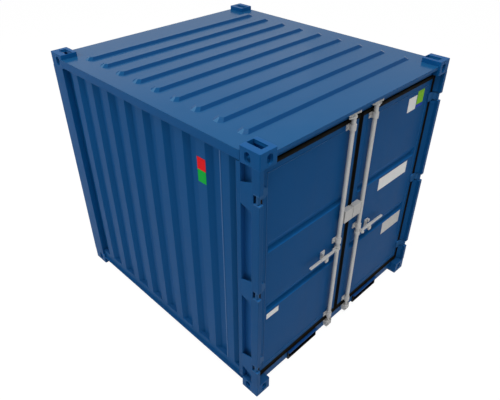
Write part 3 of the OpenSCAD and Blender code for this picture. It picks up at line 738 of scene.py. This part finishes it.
@dataclass
class Studio:
    """White floor, soft light and the camera."""

    eye: Triple = (-2.8453, -2.8900, 3.6609)
    azimuth_deg: float = -44.909
    elevation_deg: float = 35.198
    lens_mm: float = 36.194
    sensor_mm: float = 36.0
    ambient: float = 0.36
    floor_size: float = 60.0
    floor_tone: Rgb = (0.88, 0.88, 0.88)
    floor_glow: float = 1.08
    glow_share: float = 0.88
    aim: Triple = (0.0, 0.0, 1.1)
    lamps: tuple[Lamp, ...] = (
        Lamp("key_lamp", (-6.0, 3.8, 5.8), (4.0, 4.0), 145.0),
        Lamp("top_lamp", (-1.5, -2.2, 8.5), (4.0, 4.0), 330.0),
        Lamp("back_lamp", (4.6, 7.2, 5.3), (7.0, 1.4), 15.0),
    )

    def build(self) -> None:
        """Make world, floor, lamps and camera."""
        bpy.context.scene.view_settings.view_transform = "Standard"
        self._world()
        self._floor()
        for lamp in self.lamps:
            self._lamp(lamp)
        self._camera()

    def _world(self) -> None:
        """Surroundings that look white and light the box softly."""
        world = bpy.data.worlds.new("studio")
        bpy.context.scene.world = world
        world.use_nodes = True
        g = Graph(world.node_tree)
        strength = g.ramp(g.seen(), 0.0, 1.0, self.ambient, 1.0)
        back = g.add("Background", Color=rgba(WHITE), Strength=strength)
        g.add("OutputWorld", Surface=back.outputs["Background"])

    def _floor(self) -> None:
        """Pale floor that keeps a soft shadow and reads white to the camera."""
        bm = bmesh.new()
        bmesh.ops.create_grid(bm, x_segments=1, y_segments=1, size=self.floor_size / 2)
        floor = as_object(bm, "floor")
        material = bpy.data.materials.new("studio_floor")
        material.use_nodes = True
        g = Graph(material.node_tree)
        diffuse = g.add("BsdfDiffuse", Color=rgba(self.floor_tone))
        glow = g.add("Emission", Color=rgba(WHITE), Strength=self.floor_glow)
        mixed = g.add("MixShader", Fac=g.times(g.seen(), self.glow_share))
        g.put(mixed.inputs[1], diffuse.outputs["BSDF"])
        g.put(mixed.inputs[2], glow.outputs["Emission"])
        g.add("OutputMaterial", Surface=mixed.outputs["Shader"])
        floor.data.materials.append(material)
        floor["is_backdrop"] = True

    def _lamp(self, lamp: Lamp) -> None:
        """Add an area lamp that faces the box.

        Args:
            lamp: Its place, size and power.
        """
        light = bpy.data.lights.new(lamp.name, "AREA")
        light.shape = "RECTANGLE"
        light.size, light.size_y = lamp.size
        light.energy = lamp.power
        look = Vector(self.aim) - Vector(lamp.place)
        self._stand(bpy.data.objects.new(lamp.name, light), lamp.place, look)

    def _camera(self) -> None:
        """Camera at the photograph's place and angle."""
        data = bpy.data.cameras.new("camera")
        data.sensor_fit = "HORIZONTAL"
        data.sensor_width = self.sensor_mm
        data.lens = self.lens_mm
        camera = bpy.data.objects.new("camera", data)
        a, e = math.radians(self.azimuth_deg), math.radians(self.elevation_deg)
        back = Vector((math.sin(a) * math.cos(e), -math.cos(a) * math.cos(e), math.sin(e)))
        self._stand(camera, self.eye, -back)
        bpy.context.scene.camera = camera

    @staticmethod
    def _stand(thing: bpy.types.Object, place: Triple, look: Vector) -> None:
        """Put a lamp or a camera in the scene.

        Args:
            thing: Object to place.
            place: Its position.
            look: Direction that it faces.
        """
        thing.location = place
        thing.rotation_mode = "QUATERNION"
        thing.rotation_quaternion = look.to_track_quat("-Z", "Y")
        bpy.context.scene.collection.objects.link(thing)


def as_object(bm: bmesh.types.BMesh, name: str) -> bpy.types.Object:
    """Turn a bmesh into an object in the scene.

    Args:
        bm: Finished mesh; it is freed.
        name: Object name.

    Returns:
        The new object, at the origin.
    """
    bmesh.ops.recalc_face_normals(bm, faces=bm.faces)
    mesh = bpy.data.meshes.new(name)
    bm.to_mesh(mesh)
    bm.free()
    made = bpy.data.objects.new(name, mesh)
    bpy.context.scene.collection.objects.link(made)
    return made


@dataclass(frozen=True)
class HeadShape:
    """Proportions of a fastener's head or washer, as shares of its nominal size, and its sides."""

    radius: float
    height: float
    rounding: float
    sides: int


@dataclass
class Piece:
    """Added piece: a mesh under construction, the body it rides on and its finish."""

    name: str
    body: str
    slot: Slot
    finish: Finish
    bm: bmesh.types.BMesh = field(default_factory=bmesh.new)
    washer: HeadShape = HeadShape(0.68, 0.14, 0.056, 24)
    hex_head: HeadShape = HeadShape(0.5, 0.36, 0.06, 6)
    round_head: HeadShape = HeadShape(1.0, 0.7, 0.45, 14)

    def slab(self, low: Triple, high: Triple, bevel: float, segments: int = 2) -> None:
        """Add a block with rounded edges.

        Args:
            low: Lowest corner.
            high: Highest corner.
            bevel: Width of the rounding.
            segments: Steps of the rounding.
        """
        size = Vector(high) - Vector(low)
        place = Matrix.LocRotScale((Vector(high) + Vector(low)) / 2, None, size)
        made = bmesh.ops.create_cube(self.bm, size=1.0, matrix=place)["verts"]
        self._round({edge for vert in made for edge in vert.link_edges}, bevel, segments)

    def disc(self, place: Vector, axis: Axis, shape: HeadShape, size: float) -> None:
        """Add a disc or prism that stands on a surface, with a rounded outer rim.

        Args:
            place: Point on the surface.
            axis: Direction away from the surface.
            shape: Proportions of the disc.
            size: Nominal size that they are shares of.
        """
        radius, depth = size * shape.radius, size * shape.height
        turn = axis.vector.to_track_quat("Z", "Y").to_matrix().to_4x4()
        where = Matrix.Translation(place + axis.vector * (depth / 2)) @ turn
        made = bmesh.ops.create_cone(self.bm, cap_ends=True, cap_tris=False, segments=shape.sides,
                                     radius1=radius, radius2=radius, depth=depth, matrix=where)["verts"]
        far = [v for v in made if (v.co - place).dot(axis.vector) > depth / 2]
        rim = {e for v in far for e in v.link_edges if e.other_vert(v) in far}
        self._round(rim, size * shape.rounding)

    def _round(self, edges: set[bmesh.types.BMEdge], width: float, segments: int = 2) -> None:
        """Round edges by a width, in a number of steps."""
        bmesh.ops.bevel(self.bm, geom=list(edges), offset=width, offset_type="OFFSET", segments=segments,
                        profile=ROUND_PROFILE, affect="EDGES", material=-1, clamp_overlap=True)

    def hex_bolt(self, place: Vector, axis: Axis, across: float) -> None:
        """Add a washer and a six-sided bolt head of a width over its corners."""
        self.disc(place, axis, self.washer, across)
        self.disc(place + axis.vector * (across * self.washer.height), axis, self.hex_head, across)

    def rivet(self, place: Vector, axis: Axis, radius: float) -> None:
        """Add the low round head of a rivet or screw."""
        self.disc(place, axis, self.round_head, radius)

    def bead(self, path: list[Vector], radius: float, sides: int = 8) -> None:
        """Draw a round bead along a path.

        Args:
            path: Points of the bead's middle; its section stays square to Y.
            radius: Radius of the section.
            sides: Corners of the section.
        """
        stand = Matrix.Rotation(math.pi / 2, 4, "X")
        loop = bmesh.ops.create_circle(self.bm, cap_ends=True, segments=sides, radius=radius,
                                       matrix=Matrix.Translation(path[0]) @ stand)["verts"]
        edges = list({e for v in loop for e in v.link_edges})
        for start, end in zip(path, path[1:]):
            moved, edges = self._grow(edges)
            bmesh.ops.translate(self.bm, verts=moved, vec=end - start)
        bmesh.ops.edgeloop_fill(self.bm, edges=edges)

    def frame_ring(self, inner: Box2, outer: Box2, section: tuple[Pair, ...]) -> None:
        """Loft a section around an upright rectangle, with mitred corners.

        Args:
            inner: Inner rectangle in X and Z.
            outer: Outer rectangle in X and Z.
            section: Points as share of the way from inner to outer, and Y.
        """
        middle_x, middle_z = (inner[0] + inner[2]) / 2, (inner[1] + inner[3]) / 2
        low_x, low_z, high_x, high_z = inner
        corners = ((low_x, low_z), (high_x, low_z), (high_x, high_z), (low_x, high_z))
        verts = [self.bm.verts.new((x, section[0][1], z)) for x, z in corners]
        first = edges = [self.bm.edges.new((verts[i], verts[i - 1])) for i in range(len(verts))]
        for share, y in section[1:]:
            low_x, low_z, high_x, high_z = (a + (b - a) * share for a, b in zip(inner, outer))
            moved, edges = self._grow(edges)
            for vert in moved:
                x = high_x if vert.co.x > middle_x else low_x
                z = high_z if vert.co.z > middle_z else low_z
                vert.co = (x, y, z)
        bmesh.ops.bridge_loops(self.bm, edges=first + edges)

    def _grow(self, edges: list[bmesh.types.BMEdge]
              ) -> tuple[list[bmesh.types.BMVert], list[bmesh.types.BMEdge]]:
        """Extrude a loop of edges.

        Args:
            edges: Loop to extrude.

        Returns:
            The vertices and the edges of the new loop.
        """
        grown = bmesh.ops.extrude_edge_only(self.bm, edges=edges)["geom"]
        moved = [item for item in grown if isinstance(item, bmesh.types.BMVert)]
        new = set(moved)
        loop = [item for item in grown if isinstance(item, bmesh.types.BMEdge) and set(item.verts) <= new]
        return moved, loop

    def place(self, finishes: Finishes, *stands_for: str) -> None:
        """Turn the mesh into an object, dress it and join it to its body.

        Args:
            finishes: Store of the materials.
            stands_for: Names of the solids that the piece replaces.
        """
        made = as_object(self.bm, self.name)
        dress(made, finishes.get(self.finish))
        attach(made, self.body)
        if stands_for:
            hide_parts(*stands_for)
        LOG.info("%s: %d faces on %s", self.name, len(made.data.polygons), self.body)


@dataclass
class Shell:
    """Fixed part of the box: frame, walls, roof and base."""

    nodes: dict[str, bpy.types.Object]
    finishes: Finishes
    bar_x: float = 0.137
    claw_x: float = 0.047
    claw_z: float = 2.181
    claw_front: float = -1.188
    bolt: float = 0.020
    special: tuple[tuple[str, Finish], ...] = (
        ("roof_sheet", Finishes.ROOF), ("floor_boards", Finishes.WOOD), ("side_wall", Finishes.WALL),
        ("rear_wall", Finishes.WALL), ("floor_cross", Finishes.UNDER), ("fork_pocket", Finishes.POCKET),
        ("top_keepers", Finishes.ZINC), ("bottom_keepers", Finishes.ZINC), ("hinge_lugs", Finishes.HINGE),
        ("top_casting", Finishes.CASTING), ("bottom_casting", Finishes.FOOT), ("front_post", Finishes.POST),
    )

    def dress(self, members: list[str]) -> None:
        """Give every fixed node its special finish, by the start of its name, or the frame's.

        Args:
            members: Names of the nodes of the fixed body.
        """
        for name in members:
            fitting = (finish for start, finish in self.special if name.startswith(start))
            dress(self.nodes[name], self.finishes.get(next(fitting, Finishes.FRAME)))

    def build(self) -> None:
        """Add the bolts of the top keepers."""
        bolts = Piece("keeper_bolts", "container", Slot.ZINC, Finishes.ZINC)
        for side in Side:
            for step in (-self.claw_x, self.claw_x):
                place = Vector((side.value * self.bar_x + step, self.claw_front, self.claw_z))
                bolts.hex_bolt(place, Axis.FRONT, self.bolt)
        bolts.place(self.finishes)


@dataclass
class SideWall:
    """Corrugated side wall: its lap seam and the caulk in its grooves."""

    side: Side
    finishes: Finishes
    face: float = 1.080
    start: float = -1.050
    end: float = 1.069
    pitch: float = 0.226
    ridge_flat: float = 0.086
    slope: float = 0.040
    depth: float = 0.035
    low: float = 0.160
    high: float = 2.156
    ridges: int = 9
    seam_w: float = 0.010
    seam_t: float = 0.0025
    seam_round: float = 0.001125
    caulk_r: float = 0.005

    def ridge_middles(self) -> list[float]:
        """Y of the middle of each ridge, from the door end."""
        middle = (self.start + self.end) / 2
        return [middle + (i - (self.ridges - 1) / 2) * self.pitch for i in range(self.ridges)]

    def build(self) -> None:
        """Add the seam and the caulk."""
        self._seam()
        self._caulk()

    def _seam(self) -> None:
        """Lap edge of the first sheet, on the rear edge of the first ridge."""
        word, sign = self.side.word, self.side.value
        edge = self.ridge_middles()[0] + self.ridge_flat / 2
        seam = Piece(f"wall_seam_{word}", "container", Slot.PAINT, Finishes.SEAM)
        near, far = sorted((sign * self.face, sign * (self.face + self.seam_t)))
        seam.slab((near, edge - self.seam_w, self.low), (far, edge, self.high), self.seam_round)
        seam.place(self.finishes)

    def _caulk(self) -> None:
        """Beads along the foot and the head of the wall, groove by groove."""
        word, sign = self.side.word, self.side.value
        caulk = Piece(f"wall_caulk_{word}", "container", Slot.PAINT, Finishes.WALL)
        middles = self.ridge_middles()
        deep = self.face - self.depth
        for before, after in zip(middles, middles[1:]):
            first, last = before + self.ridge_flat / 2, after - self.ridge_flat / 2
            for z in (self.low, self.high):
                points = ((self.face, first), (deep, first + self.slope), (deep, last - self.slope),
                          (self.face, last))
                caulk.bead([Vector((sign * x, y, z)) for x, y in points], self.caulk_r)
        caulk.place(self.finishes)


@dataclass
class FloorDeck:
    """Planks that stand for the floor solid, with a row of screws over each cross member."""

    finishes: Finishes
    planks: int = 14
    gap: float = 0.002
    bevel: float = 0.003
    screw_r: float = 0.006
    screw_sink: float = 0.003
    screw_shares: Pair = (0.25, 0.75)
    screw_rows: tuple[float, ...] = (-0.839, -0.420, 0.0, 0.420, 0.839)

    def build(self) -> None:
        """Build planks and screws."""
        low, high = (Vector(corner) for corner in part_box("floor_boards"))
        step = (high.x - low.x) / self.planks
        deck = Piece("floor_planks", "container", Slot.WOOD, Finishes.WOOD)
        screws = Piece("floor_screws", "container", Slot.ZINC, Finishes.ZINC)
        for i in range(self.planks):
            left = low.x + i * step + self.gap / 2
            right = left + step - self.gap
            deck.slab((left, low.y, low.z), (right, high.y, high.z), self.bevel)
            for y in self.screw_rows:
                for share in self.screw_shares:
                    spot = Vector((left + (right - left) * share, y, high.z - self.screw_sink))
                    screws.rivet(spot, Axis.UP, self.screw_r)
        deck.place(self.finishes, "floor_boards")
        screws.place(self.finishes)


@dataclass
class DoorLeaf:
    """One leaf with its seal, hinges and lock gear."""

    side: Side
    nodes: dict[str, bpy.types.Object]
    finishes: Finishes
    bar_x: float = 0.137
    foot_front: float = -1.158
    guide_z: tuple[float, ...] = (0.202, 1.062, 2.074)
    guide_bolt_x: float = 0.035
    guide_bolt: float = 0.016
    catch_bolts: tuple[Pair, ...] = ((0.2885, 1.017), (0.2885, 0.9535))
    catch_bolt: float = 0.012
    catch_x: float = 0.300
    lip_x: Span = (-0.003, 0.034)
    lip_y: Span = (-1.1974, -1.1790)
    lip_z: Span = (0.926, 0.9640)
    lip_round: float = 0.006
    lip_steps: int = 3
    pivot: Pair = (0.179, 0.986)
    pivot_front: float = -1.2034
    pivot_bolt: float = 0.026
    weld_w: float = 0.008
    weld_section: tuple[Pair, ...] = (
        (0.0, -1.1500), (0.18, -1.1522), (0.5, -1.1540), (0.82, -1.1540), (1.0, -1.1520),
    )
    seal_section: tuple[Pair, ...] = (
        (-0.28, -1.1518), (-0.28, -1.1532), (-0.05, -1.1545), (0.38, -1.1545), (0.50, -1.1535),
        (0.54, -1.1505), (0.62, -1.1505), (0.68, -1.1560), (0.84, -1.1620), (0.95, -1.1620),
        (1.00, -1.1600), (1.00, -1.1290), (0.50, -1.1265), (0.00, -1.1300), (0.00, -1.1518),
    )

    def dress(self) -> None:
        """Give the leaf's nodes their finishes."""
        word = self.side.word
        for part, finish in (
            ("leaf_frame", Finishes.DOOR), ("leaf_panel", Finishes.PANEL), ("leaf_hinges", Finishes.HINGE),
            ("leaf_seal", Finishes.RUBBER), ("bar_guides", Finishes.ZINC), ("handle_catch", Finishes.ZINC),
            ("lock_box", Finishes.DULL_ZINC), ("lock_bar", Finishes.ZINC), ("bar_cam", Finishes.ZINC),
            ("handle", Finishes.ZINC),
        ):
            dress(self.nodes[f"{word}_{part}"], self.finishes.get(finish))

    def build(self) -> None:
        """Add the seal's lips, the weld round the sheet, the bolts, the catch's lip and the nut."""
        self._seal()
        self._weld()
        self._bolts()
        self._catch_lip()
        self._pivot_nut()

    def _seal(self) -> None:
        """Profiled seal with two lips, in place of the plain band."""
        word = self.side.word
        outer, inner = (self._rectangle(f"{word}_{part}") for part in ("leaf_seal", "leaf_frame"))
        seal = Piece(f"{word}_seal_lips", f"{word}_door", Slot.RUBBER, Finishes.RUBBER)
        seal.frame_ring(inner, outer, self.seal_section)
        seal.place(self.finishes, f"{word}_leaf_seal")

    def _weld(self) -> None:
        """Weld bead in the step between the sheet and the leaf frame."""
        word, half = self.side.word, self.weld_w / 2
        low_x, low_z, high_x, high_z = self._rectangle(f"{word}_leaf_panel")
        inner = (low_x + half, low_z + half, high_x - half, high_z - half)
        outer = (low_x - half, low_z - half, high_x + half, high_z + half)
        weld = Piece(f"{word}_sheet_weld", f"{word}_door", Slot.PAINT, Finishes.WELD)
        weld.frame_ring(inner, outer, self.weld_section)
        weld.place(self.finishes)

    @staticmethod
    def _rectangle(node: str) -> Box2:
        """Upright rectangle around a node, in X and Z."""
        low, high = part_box(node)
        return low[0], low[2], high[0], high[2]

    def _bolts(self) -> None:
        """Hex bolts on the feet of the guides and the catch."""
        word, sign = self.side.word, self.side.value
        bolts = Piece(f"{word}_lock_bolts", f"{word}_door", Slot.ZINC, Finishes.ZINC)
        for z in self.guide_z:
            for step in (-self.guide_bolt_x, self.guide_bolt_x):
                place = Vector((sign * self.bar_x + step, self.foot_front, z))
                bolts.hex_bolt(place, Axis.FRONT, self.guide_bolt)
        for x, z in self.catch_bolts:
            bolts.hex_bolt(Vector((sign * x, self.foot_front, z)), Axis.FRONT, self.catch_bolt)
        bolts.place(self.finishes)

    def _catch_lip(self) -> None:
        """Rounded lip that hangs from the front of the catch's shelf, below the handle."""
        word = self.side.word
        near, far = (self.side.value * self.catch_x + step for step in self.lip_x)
        lip = Piece(f"{word}_catch_lip", f"{word}_door", Slot.ZINC, Finishes.ZINC)
        low, high = zip((near, far), self.lip_y, self.lip_z)
        lip.slab(low, high, self.lip_round, self.lip_steps)
        lip.place(self.finishes)

    def _pivot_nut(self) -> None:
        """Nut on the handle's pivot."""
        word, sign = self.side.word, self.side.value
        nut = Piece(f"{word}_pivot_nut", f"{word}_bar", Slot.ZINC, Finishes.ZINC)
        x, z = self.pivot
        nut.hex_bolt(Vector((sign * x, self.pivot_front, z)), Axis.FRONT, self.pivot_bolt)
        nut.place(self.finishes)


@dataclass(frozen=True)
class PlateSpot:
    """Place of one bare plate: its body and its corners in the plane of its wall or door."""

    name: str
    body: str
    low: Pair
    high: Pair
    finish: Finish
    slot: Slot = Slot.PAINT
    riveted: bool = False

    @property
    def axis(self) -> Axis:
        """Direction that the plate faces."""
        return Axis.LEFT if self.body == "container" else Axis.FRONT


@dataclass
class Plates:
    """Bare plates and foils on the doors and the wall, each with a raised rim."""

    finishes: Finishes
    wall_face: float = -1.080
    door_face: float = -1.150
    spots: tuple[PlateSpot, ...] = (
        PlateSpot("wall_plate_upper", "container", (-0.711, 1.911), (-0.627, 2.006), Finishes.RED_FOIL),
        PlateSpot("wall_plate_lower", "container", (-0.711, 1.813), (-0.627, 1.910), Finishes.GREEN_FOIL),
        PlateSpot("door_plate_square", "right_door", (0.674, 1.894), (0.798, 2.017), Finishes.WHITE_FOIL),
        PlateSpot("door_plate_tall", "right_door", (0.806, 1.926), (0.907, 2.043), Finishes.LIME_FOIL),
        PlateSpot("door_plate_strip", "right_door", (0.806, 1.898), (0.907, 1.925), Finishes.BLUE_FOIL),
        PlateSpot("door_plate_long", "right_door", (0.416, 1.261), (0.858, 1.380), Finishes.WHITE_FOIL),
        PlateSpot("door_plate_data", "right_door", (0.620, 0.670), (0.921, 0.804), Finishes.ZINC, Slot.ZINC,
                  riveted=True),
        PlateSpot("door_plate_small", "left_door", (-0.938, 0.739), (-0.804, 0.791), Finishes.WHITE_FOIL),
    )
    thickness: float = 0.0014
    edge_round: float = 0.00049
    facing: float = 0.9
    rim: float = 0.004
    sink: float = 0.0005
    rivet_r: float = 0.0035
    rivet_step: float = 0.0088

    def build(self) -> None:
        """Build every plate."""
        for spot in self.spots:
            self._plate(spot)

    def _plate(self, spot: PlateSpot) -> None:
        """Build one plate: a thin slab whose face is inset and sunk.

        Args:
            spot: Where the plate sits.
        """
        out = spot.axis.vector
        low, high = self._corner(spot, self.thickness, spot.low), self._corner(spot, 0.0, spot.high)
        plate = Piece(spot.name, spot.body, spot.slot, spot.finish)
        plate.slab(low, high, self.edge_round)
        face = max(plate.bm.faces, key=lambda f: (f.normal.dot(out) > self.facing, f.calc_area()))
        for width, depth in ((self.rim, 0.0), (self.sink, -self.sink)):
            bmesh.ops.inset_region(plate.bm, faces=[face], thickness=width, depth=depth,
                                   use_even_offset=True)
        if spot.riveted:
            self._rivets(plate, spot)
        plate.place(self.finishes)

    def _corner(self, spot: PlateSpot, height: float, flat: Pair) -> Triple:
        """Point at some height over a plate's wall or door.

        Args:
            spot: Where the plate sits.
            height: Height over the wall or door.
            flat: Place in the plane of the wall or door.

        Returns:
            The point.
        """
        if spot.axis is Axis.LEFT:
            return self.wall_face - height, flat[0], flat[1]
        return flat[0], self.door_face - height, flat[1]

    def _rivets(self, plate: Piece, spot: PlateSpot) -> None:
        """Add a rivet near each corner of a plate.

        Args:
            plate: Plate under construction.
            spot: Where the plate sits.
        """
        height, step = self.thickness - self.sink, self.rivet_step
        for u in (spot.low[0] + step, spot.high[0] - step):
            for v in (spot.low[1] + step, spot.high[1] - step):
                plate.rivet(Vector(self._corner(spot, height, (u, v))), spot.axis, self.rivet_r)


def main() -> None:
    """Load the frame, build the studio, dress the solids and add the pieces."""
    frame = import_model()
    finishes = Finishes()
    bodies = frame["record"]["behaviour"]["bodies"]
    Studio().build()
    shell = Shell(frame["nodes"], finishes)
    shell.dress(bodies["container"])
    shell.build()
    FloorDeck(finishes).build()
    for side in Side:
        SideWall(side, finishes).build()
        leaf = DoorLeaf(side, frame["nodes"], finishes)
        leaf.dress()
        leaf.build()
    Plates(finishes).build()


if __name__ == "__main__":
    logging.basicConfig(level=logging.INFO, format="%(name)s: %(message)s")
    main()
